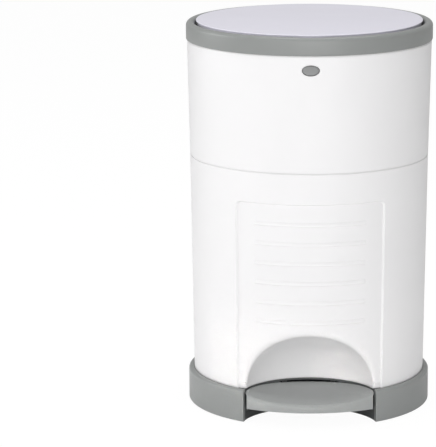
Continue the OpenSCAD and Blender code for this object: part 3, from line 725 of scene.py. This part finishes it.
# The near-black of the wall round the pedal notch is painted shade: the wall is the ring's sage grey, darkened to
# stand for the shadow in the deep gap.
painted_shade_grey = plastic("painted_shade_grey", (0.085, 0.09, 0.09), gloss=(0.5, 0.6), grain=1100.0, edge_wear_and_highlight=0.0)


def notched_ring(name, profile, cutter):
    """A closed profile turned about the axis from one side of the notch to the other."""
    n = len(profile)
    share = np.linspace(0, 1, ring_steps + 1)
    share = np.concatenate([share[:1], [0.0006, 0.0014], share[1:-1], [0.9986, 0.9994], share[-1:]])
    points = []
    for u in share:
        for r, z in profile:
            low = notch_angle(r, cutter)
            a = low + (2 * math.pi - 2 * low) * u
            points.append((r * math.sin(a), -r * math.cos(a), z))
    faces = grid_faces(len(share), n, ring=True)
    faces += [tuple(range(n)), tuple(range(len(points) - n, len(points)))[::-1]]
    return eased(name, points, faces, 0, ring_sharp)


def notch_wall(name, low, high, first, last):
    """Upright wall round the pedal notch between two angles about the recess line."""
    return prism(name, recess_arc(recess_r + 0.2, first, last) + recess_arc(recess_r + 2.6, last, first),
                 low, high, 0.2)


foot_profile = rounded([(ring_in, ring_low, 0.6), (ring_out, ring_low, 1.5), (ring_out, base_h, shoulder),
                        (ring_in, base_h + 0.2, 0.8)], 8)
notch_end, window_end = (math.degrees(math.asin(half / recess_r)) for half in (notch_half, window_half))
foot_ring = joined("foot_ring", [notched_ring("foot_ring", foot_profile, recess_r), prism(
    "bottom_plate", notched_disc(plate_r, recess_r + 1, 140), ring_low, 2.9, 0.2)])
notch_skin = joined("notch_wall", [notch_wall("notch_wall", *sizes) for sizes in (
    (0.6, 12, -notch_end, notch_end), (43, 45.7, -notch_end, notch_end), (11, 44, window_end, notch_end),
    (11, 44, -notch_end, -window_end))])
dress(foot_ring, trim_grey)
# The notch wall carries the painted shade of the gap round the pedal.
dress(notch_skin, painted_shade_grey)
for piece in (foot_ring, notch_skin):
    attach(piece, "lower_section")
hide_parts("base_ring")

# ---------------------------------------------------------------- pedal
# The crescent that the foot presses: a hollow grey moulding, its top falling to the front and the
# ends. Two screws fix it on the dark lever below.
tread_back_r = 95.0
tread_front_r = 172.9
tread_top = 44.5
tread_low = 20.5
tread_wall = 2.6
tread_half = 88.6
tread_nose = 5.0
dish_r, dish_z, dish_y, dish_slope = 435.0, 40.65, -78.0, 0.091
crease_high, crease_share = 0.9, 0.42
end_drop, drop_power = 5.4, 1.6


def tread_edges(x):
    """Back and front of the tread at a distance from the middle."""
    return recess_y + math.sqrt(max(tread_back_r ** 2 - x * x, 0)), -math.sqrt(tread_front_r ** 2 - x * x)


def tread_z(x, y):
    """Height of the tread: a dish that falls to the front, with a faint crease half way at the sides."""
    back, front = tread_edges(x)
    dish = dish_z + (y - dish_y) * dish_slope + dish_r - math.sqrt(dish_r ** 2 - x * x)
    share = (y - front) / max(back - front, 1.0)
    crease = crease_high * max(0.0, 1 - abs(share - crease_share) / crease_share)
    crease *= smooth(12.0, 45.0, abs(x)) * (1 - smooth(72.0, 90.0, abs(x)))
    drop = end_drop * smooth(15.0, 88.0, abs(x)) * (1 - share) ** drop_power
    near = max(0.0, tread_nose - (y - front))
    nose = tread_nose - math.sqrt(max(tread_nose ** 2 - near ** 2, 0))
    return min(dish + crease, tread_top) - drop - nose


across_steps, deep_steps = 96, 44
points = []
for a in np.linspace(-math.pi / 2, math.pi / 2, across_steps + 1):
    x = tread_half * math.sin(a)
    back, front = tread_edges(x)
    back = max(back, front + 0.2)
    for k in range(deep_steps + 1):
        y = front + (back - front) * (k / deep_steps) ** 1.3
        points.append((x, y, tread_z(x, y)))
n = deep_steps + 1
faces = grid_faces(across_steps + 1, n)
rim = list(range(0, len(points), n)) + list(range(len(points) - 1, 0, -n))
low_start = len(points)
points += [(points[k][0], points[k][1], tread_low) for k in rim]
for k, here in enumerate(rim):
    m = (k + 1) % len(rim)
    faces.append((here, rim[m], low_start + m, low_start + k))
tread = new_object("tread", plain_mesh("tread", points, faces))
round_off = tread.modifiers.new("edges", "BEVEL")
round_off.width = 1.1 * MM
round_off.segments = 3
round_off.limit_method = "ANGLE"
round_off.angle_limit = math.radians(50)
walled(tread, tread_wall)
tread.data.set_sharp_from_angle(angle=math.radians(40))
# The tread's grey is the sage grey made lighter, as painted light that makes up for the shade of the recess above
# it. Its edges carry a strong painted highlight.
dress(tread, plastic("tread_grey", (0.330, 0.342, 0.338), gloss=(0.36, 0.44), grain=1100.0, depth=0.00005,
                     edge_wear_and_highlight=0.3))
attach(tread, "pedal")
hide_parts("pedal_tread")

# ---------------------------------------------------------------- upper shell
# The upper half of the body, a plain white tapered moulding. It hangs on the waist hinge at the
# back and is held at the front by the latch.
ring_z = 525.0
wall_top_r = 173.6


def upper_r(z):
    """Outer radius of the upper shell at height z."""
    return seam_r + (wall_top_r - seam_r) * (z - seam_z) / (ring_z - seam_z)


hole_z = 504.6
hole_half = (12.3, 7.4)
hole_shares = (0.3, 0.55, 0.74, 0.87, 0.95, 1.0)
hole_inset = 0.35
patch_half, patch_low, patch_high = 24.0, 490.0, 521.0
patch_side = 14
patch_angle = patch_half / upper_r(hole_z)
low_steps = 22


def skin_point(angle, z, inset=0.0):
    """A point of the upper skin at an angle from the front."""
    return ((upper_r(z) - inset) * math.sin(angle), -(upper_r(z) - inset) * math.cos(angle), z)


levels = [(seam_z + seam_gap / 2 + lip_round * (1 - math.sin(a)), lip_round * (1 - math.cos(a)))
          for a in np.radians([90, 65, 45, 22])]
patch_row = len(levels) + low_steps - 1
levels += [(z, 0.0) for z in np.concatenate([
    np.linspace(seam_z + seam_gap / 2 + lip_round, patch_low, low_steps),
    np.linspace(patch_low, patch_high, patch_side + 1)[1:], [ring_z - 0.3]])]
angles = np.concatenate([np.linspace(-patch_angle, patch_angle, patch_side + 1),
                         np.linspace(patch_angle, 2 * math.pi - patch_angle, 181)[1:-1]])
wide = len(angles)
points = [skin_point(a, z, inset) for z, inset in levels for a in angles]
faces = [face for k, face in enumerate(grid_faces(len(levels), wide, ring=True))
         if not (patch_row <= k // wide < patch_row + patch_side and k % wide < patch_side)]
along = range(patch_side)
border = ([(0, j) for j in along] + [(i, patch_side) for i in along]
          + [(patch_side, patch_side - j) for j in along] + [(patch_side - i, 0) for i in along])
border = [(patch_row + i) * wide + j for i, j in border]
rings = [border]
for share in hole_shares:
    rings.append(list(range(len(points), len(points) + len(border))))
    for x, y, z in [points[k] for k in border]:
        a, turn = math.atan2(x, -y), math.atan2((z - hole_z) / hole_half[1], x / hole_half[0])
        hole_a = math.asin(hole_half[0] * math.cos(turn) / upper_r(hole_z))
        hole_at = hole_z + hole_half[1] * math.sin(turn)
        points.append(skin_point(a + (hole_a - a) * share, z + (hole_at - z) * share,
                                 hole_inset if share == 1.0 else 0.0))
for outer_ring, inner_ring in zip(rings, rings[1:]):
    for j in range(len(border)):
        k = (j + 1) % len(border)
        faces.append((outer_ring[j], outer_ring[k], inner_ring[k], inner_ring[j]))
upper_skin = new_object("upper_shell", plain_mesh("upper_shell", points, faces))
walled(upper_skin, wall)
neck = rounded([(169.0, ring_z - 0.3, 0), (169.0, 535.0, 0.6), (166.0, 535.0, 0.6), (166.0, 520.0, 0.3),
                (158.0, 520.0, 0.5), (158.0, 517.0, 0.5), (172.0, 516.2, 0), (173.2, ring_z - 0.8, 0),
                (173.2, ring_z - 0.3, 0)], 3)
ledge = rounded([(158.6, 517.4, 0.3), (170.4, 508.0, 0.5), (172.0, 508.5, 0), (172.0, 517.4, 0)], 3)
latch_z, latch_y = 440.0, -158.5
inside = [lathe("neck", neck), lathe("ledge", ledge, 6.2, 353.8),
          channel("upper_channel", 12.0, seam_z + 18, 518, 167.0)]
inside += guide("upper_guide", 395, 4.3, 3.3, 167) + guide("upper_guide", 480, 4.3, 3.3, 168)
for side in (-1, 1):
    inside += [bar("knuckle", (side * 22.25, waist_y, seam_z), "X", knuckle_r, 14.5),
               side_block("knuckle_foot", side, 15, 29.5, (waist_y - 10, seam_z), (waist_y, seam_z + 9)),
               side_block("latch_bracket", side, 9.5, 13, (-169.5, latch_z - 6), (latch_y + 5.5, latch_z + 6))]
upper_inside = joined("upper_inside", inside)
for piece in (upper_skin, upper_inside):
    dress(piece, shell_white)
    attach(piece, "top_section")
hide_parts("upper_body")

# ---------------------------------------------------------------- top ring
# The sage-grey rim: a moulded ring pushed over the neck of the upper shell, its crest scooped a
# little at the front for a finger.
rim_r = 175.0
rim_crest = 550.0
rim_bore = 163.0
scoop_r = 350.0
scoop_half = 30.0
scoop_front, scoop_low = -150, 540
rim_profile = rounded([(169.05, ring_z, 0.4), (rim_r, ring_z, 1.2), (rim_r, rim_crest, 7.0),
                       (rim_bore, rim_crest, 4.8), (rim_bore, 528, 0.5), (165.8, 528, 0.3),
                       (165.8, 535.2, 0.2), (169.05, 535.2, 0.2)], 8)
top_rim = new_object("top_rim", lathe("top_rim", rim_profile, steps=360, sharp=40))
for vertex in top_rim.data.vertices:
    x, y, z = vertex.co / MM
    if y < scoop_front and z > scoop_low:
        scoop = scoop_r - math.sqrt(scoop_r ** 2 - min(x * x, scoop_half ** 2))
        vertex.co.z = min(z, rim_crest - 1 + scoop) * MM
# The rim's grey is a little darker than the base ring's, though both are one sage plastic: painted shade that
# tones down the light the rim catches.
dress(top_rim, plastic("rim_grey", (0.262, 0.272, 0.266), gloss=(0.30, 0.38), grain=1100.0, depth=0.00005,
                       edge_wear_and_highlight=0.10))
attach(top_rim, "top_section")
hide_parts("top_ring")

# ---------------------------------------------------------------- lid
# A cool-white moulded disc set in the ring, its rim stepped back below the edge and rounder at the
# back, where it turns. Two eyes take the steel hinge pin, and two cut-outs clear the hinge posts.
lid_r = 160.6
lid_top = 552.0
lid_round = 1.3
lid_back_round = 5.0
lid_step_in, lid_step_down = 2.0, 1.6
lid_axis_y, lid_axis_z = 149.5, 546.5
lid_back_blend = (105, 140)
post_x = 33
cut_sharp = 35
lid_white = plastic("lid_white", (0.81, 0.795, 0.885), gloss=(0.30, 0.38), grain=700.0, coat=0.25)


def cut(made, cutters):
    """Takes closed meshes out of an object and leaves it as a plain mesh."""
    tool = joined("cutting_tool", cutters)
    hole = made.modifiers.new("cut", "BOOLEAN")
    hole.operation = "DIFFERENCE"
    hole.solver = "EXACT"
    hole.object = tool
    baked(made)
    bpy.data.objects.remove(tool)
    shade(made.data, cut_sharp)


under_r, step_r = lid_r - 4.4, lid_r - lid_step_in
under_z = lid_top - 11
disc = rounded([(0.0, lid_top - 3, 0), (under_r, lid_top - 4.5, 1.0), (under_r, under_z, 0.4),
                (step_r, under_z, 0.4), (step_r, lid_top - lid_step_down, 0.2),
                (lid_r, lid_top - lid_step_down, 0.3), (lid_r, lid_top, lid_round), (0.0, lid_top, 0)], 8)
lid_disc = new_object("lid_disc", lathe("lid_disc", disc, steps=300))
for vertex in lid_disc.data.vertices:
    x, y, z = vertex.co / MM
    r, high = math.hypot(x, y), z - lid_top + lid_back_round
    if high > 0 and r > lid_r - lid_back_round:
        reach = lid_r - lid_back_round + math.sqrt(max(lid_back_round ** 2 - high ** 2, 0))
        share = smooth(*lid_back_blend, math.degrees(abs(math.atan2(x, -y))))
        thinner = 1 + share * min(0.0, reach - r) / r
        vertex.co.x, vertex.co.y = vertex.co.x * thinner, vertex.co.y * thinner
cut(lid_disc, [side_block("post_gap", side, post_x - 3.6, post_x + 3.6, (lid_axis_y - 5.5, lid_top - 20),
                          (lid_r + 5, lid_top - 1.6), 0) for side in (-1, 1)]
    + [block("crank_gap", (-20.8, lid_axis_y - 2, lid_top - 12), (20.8, lid_r + 5, lid_top - 4), 0)])
eyes = []
for side in (-1, 1):
    eyes += [bar("lid_eye", (side * 25, lid_axis_y, lid_axis_z), "X", 4, 8),
             side_block("eye_foot", side, 21, 29, (lid_axis_y - 4, lid_axis_z - 2), (lid_axis_y + 7, lid_top - 2))]
eyes += [bar("screw_post", (x, y, lid_top - 4), "Z", 4.5, 4) for x in (-75, 75) for y in (-60, 40)]
lid_eyes = joined("lid_eyes", eyes)
for piece in (lid_disc, lid_eyes):
    dress(piece, lid_white)
    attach(piece, "lid")
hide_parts("lid_panel")

# ---------------------------------------------------------------- button
# The oval catch button: a small grey moulding that slides in the front wall of the upper shell.
# Its stem pushes the long latch lever behind.
button_half = (11.9, 7.0)
button_sides = 64
button_grey = plastic("button_grey", (0.235, 0.24, 0.24), gloss=(0.32, 0.40), grain=1600.0, edge_wear_and_highlight=0.15)
front_r = upper_r(hole_z) + 1.2
points = []
for scale, inset in ((1.0, 8.0), (1.0, 2.6), (0.99, 1.9), (0.955, 1.2), (0.9, 0.55), (0.85, 0.2), (0.79, 0.05),
                     (0.72, 0.12), (0.5, 0.26), (0.25, 0.34), (0.02, 0.36)):
    for a in np.radians(np.linspace(0, 360, button_sides, endpoint=False)):
        x, z = button_half[0] * scale * math.cos(a), button_half[1] * scale * math.sin(a)
        points.append((x, -math.sqrt(front_r ** 2 - x * x) + inset, hole_z + z))
faces = grid_faces(len(points) // button_sides, button_sides, ring=True)
faces += [tuple(range(button_sides)), tuple(range(len(points) - button_sides, len(points)))]
button = joined("oval_button", [plain_mesh("oval_button", points, faces, 60),
                                bar("button_stem", (0, -165, hole_z), "Y", 4, 6)])
dress(button, button_grey)
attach(button, "button")
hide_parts("release_button")

# ---------------------------------------------------------------- funnel
# The white deck and funnel that a nappy is pushed through, screwed to the ledge of the upper shell.
# Lugs under the throat carry the flap pins, and two posts on the deck carry the lid's pin.
deck_z = 520.0
throat_z = 440.0
throat_r = 80.0
mouth_r = 115.0
funnel_profile = rounded([(throat_r, throat_z, 0.8), (throat_r + 3, throat_z, 0.8),
                          (throat_r + 3, throat_z + 13.5, 6), (mouth_r + 3, deck_z - 1, 3), (153, deck_z, 0.4),
                          (165.5, deck_z, 0.3), (165.5, deck_z + 3, 0.6), (mouth_r + 3, deck_z + 3, 1.5),
                          (mouth_r + 3, deck_z + 13, 1.4), (mouth_r, deck_z + 13, 1.4), (mouth_r, deck_z, 7),
                          (throat_r, throat_z + 15, 9)], 6)
funnel = new_object("funnel", lathe("funnel", funnel_profile, steps=240))
cut(funnel, [block("rod_slot", (-6, rod_y - 5, deck_z - 20), (6, rod_y + 9.5, deck_z + 10), 0)])
post = [(lid_axis_y - 12, deck_z + 1), (lid_axis_y + 3.3, deck_z + 1), (lid_axis_y + 3.3, lid_axis_z),
        (lid_axis_y - 3.3, lid_axis_z)]
lugs = []
for side in (-1, 1):
    for y in (-41, 41):
        lugs += [side_block("flap_lug", side, 71, 92, (y - 3, throat_z + 1), (y + 3, throat_z + 8)),
                 side_block("flap_lug", side, 84.4, 92, (y - 3, throat_z - 8), (y + 3, throat_z + 7.5), 0.8)]
    plate = prism("hinge_post", post, -3, 3, 0.5)
    plate.transform(Matrix(((0, 0, 1, side * post_x * MM), (1, 0, 0, 0), (0, 1, 0, 0), (0, 0, 0, 1))))
    lugs += [plate, bar("hinge_post", (side * post_x, lid_axis_y, lid_axis_z), "X", 3.3, 6)]
funnel_lugs = joined("funnel_lugs", lugs)
for piece in (funnel, funnel_lugs):
    dress(piece, inner_white)
    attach(piece, "top_section")
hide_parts("chute")

# ---------------------------------------------------------------- inner pieces
# The moulded parts inside: film tray, flaps, inner lid, pedal lever, push rods, latch lever and
# cutter case, in white, grey and dark plastic as a bin of this kind has them.
dark_plastic = plastic("dark_plastic", (0.06, 0.062, 0.066), gloss=(0.45, 0.55), grain=1300.0, edge_wear_and_highlight=0.12)
tray_grey = plastic("tray_grey", (0.30, 0.31, 0.31), gloss=(0.45, 0.52), grain=1200.0)


def cad_copy(name, source, paint, body):
    """A welded, smoothly shaded copy of a CAD piece whose shape is already right."""
    made = new_object(name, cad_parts[source].data.copy())
    work = bmesh.new()
    work.from_mesh(made.data)
    bmesh.ops.remove_doubles(work, verts=work.verts, dist=2e-6)
    work.to_mesh(made.data)
    work.free()
    shade(made.data, 30)
    dress(made, paint)
    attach(made, body)
    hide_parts(source)


for name, source, paint, slot_name, body in (
        ("film_tray", "liner_ring", tray_grey, "grey_inner", "top_section"),
        ("left_flap", "flap_left", inner_white, "white_inner", "flap_l"),
        ("right_flap", "flap_right", inner_white, "white_inner", "flap_r"),
        ("inner_lid", "lid_liner", inner_white, "white_inner", "lid"),
        ("lever", "pedal_lever", dark_plastic, "dark_moulding", "pedal"),
        ("lower_rod_bar", "lower_push_rod", dark_plastic, "dark_moulding", "lower_rod"),
        ("upper_rod_bar", "upper_push_rod", dark_plastic, "dark_moulding", "upper_rod"),
        ("latch_bar", "latch_lever", dark_plastic, "dark_moulding", "latch"),
        ("cutter_case", "cutter_holder", tray_grey, "grey_inner", "lower_section")):
    cad_copy(name, source, paint, body)

# ---------------------------------------------------------------- rubber
# The lid's seal, pushed over the rib of the inner lid, and the four pads pressed into the base:
# soft black rubber.
rubber = plastic("soft_rubber", (0.035, 0.035, 0.036), gloss=(0.62, 0.74), grain=2200.0, depth=0.00008)
cad_copy("seal", "lid_seal", rubber, "lid")
cad_copy("pads", "anti_slip_feet", rubber, "lower_section")

# ---------------------------------------------------------------- steel
# Pins, screws, springs and the cutter blade: drawn and plated steel. The coils are wound wire,
# made by one tree from their turns, radius, length and wire.


def steel_paint():
    """Drawn steel with fine scratches along it."""
    made, tree, shader = new_material("drawn_steel")
    place = node(tree, "ShaderNodeTexCoord").outputs["Object"]
    stretch = node(tree, "ShaderNodeMapping", {"Vector": place, "Scale": (60.0, 1200.0, 1200.0)})
    noise = node(tree, "ShaderNodeTexNoise", {"Vector": stretch, "Scale": 1.0})
    ramp = node(tree, "ShaderNodeMapRange", {"Value": noise, "To Min": 0.22, "To Max": 0.40})
    feed(tree, shader, {"Roughness": ramp, "Base Color": (0.60, 0.61, 0.62, 1), "Metallic": 1.0})
    return made


steel = steel_paint()
coil_tree, given = geometry_tree("wire_coils", {
    "Turns": float, "Coil Radius": float, "Coil Length": float, "Wire": float, "Count": int,
    "Spacing": float, "Material": bpy.types.Material})
spiral = node(coil_tree, "GeometryNodeCurveSpiral", {
    "Resolution": 28, "Rotations": given["Turns"], "Start Radius": given["Coil Radius"],
    "End Radius": given["Coil Radius"], "Height": given["Coil Length"]})
thin = node(coil_tree, "ShaderNodeMath", {0: given["Wire"], 1: 0.5}, operation="MULTIPLY")
wire = node(coil_tree, "GeometryNodeCurvePrimitiveCircle", {"Resolution": 12, "Radius": thin},
            mode="RADIUS")
coil = node(coil_tree, "GeometryNodeCurveToMesh", {
    "Curve": spiral, "Profile Curve": wire, "Fill Caps": True})
stride = node(coil_tree, "ShaderNodeCombineXYZ", {0: given["Spacing"]})
row = node(coil_tree, "GeometryNodeMeshLine", {"Count": given["Count"], "Offset": stride},
           mode="OFFSET")
spread_out = node(coil_tree, "GeometryNodeInstanceOnPoints", {
    "Points": row, "Instance": coil})
finish_tree(coil_tree, spread_out, given)
flap_coils = ("flap_coils", "flap_springs", "top_section", 5.0, 2.3, 16.0, 0.9, 2, 176.0,
              Matrix.Translation(Vector((-88, 8, 436)) * MM) @ Matrix.Rotation(math.pi / 2, 4, "X"))
latch_coil = ("latch_coil", "latch_spring", "top_section", 4.0, 2.8, 8.5, 0.9, 1, 0.0,
              Matrix.Translation(Vector((13.4, latch_y, latch_z)) * MM) @ Matrix.Rotation(math.pi / 2, 4, "Y"))
rod_coil = ("rod_coil", "rod_return_spring", "lower_section", 7.0, 5.2, 47.0, 1.2, 1, 0.0,
            Matrix.Translation(Vector((0, rod_y, 73)) * MM))
for name, source, body, turns, r, length, thickness, count, spacing, place in (flap_coils, latch_coil, rod_coil):
    made = grown(name, coil_tree, {"Turns": turns, "Coil Radius": r * MM, "Coil Length": length * MM,
                                   "Wire": thickness * MM, "Count": count, "Spacing": spacing * MM,
                                   "Material": steel})
    made.data.transform(place)
    made.data.shade_smooth()
    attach(made, body)
    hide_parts(source)
    if name == "rod_coil":
        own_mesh(made)
for source in ("base_screws", "pedal_pivot_pin", "body_hinge_pin", "cutter_blade", "pedal_screws", "chute_screws",
               "flap_pins", "latch_pin", "lid_hinge_pin", "lid_screws", "crank_pin"):
    dress(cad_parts[source], steel)
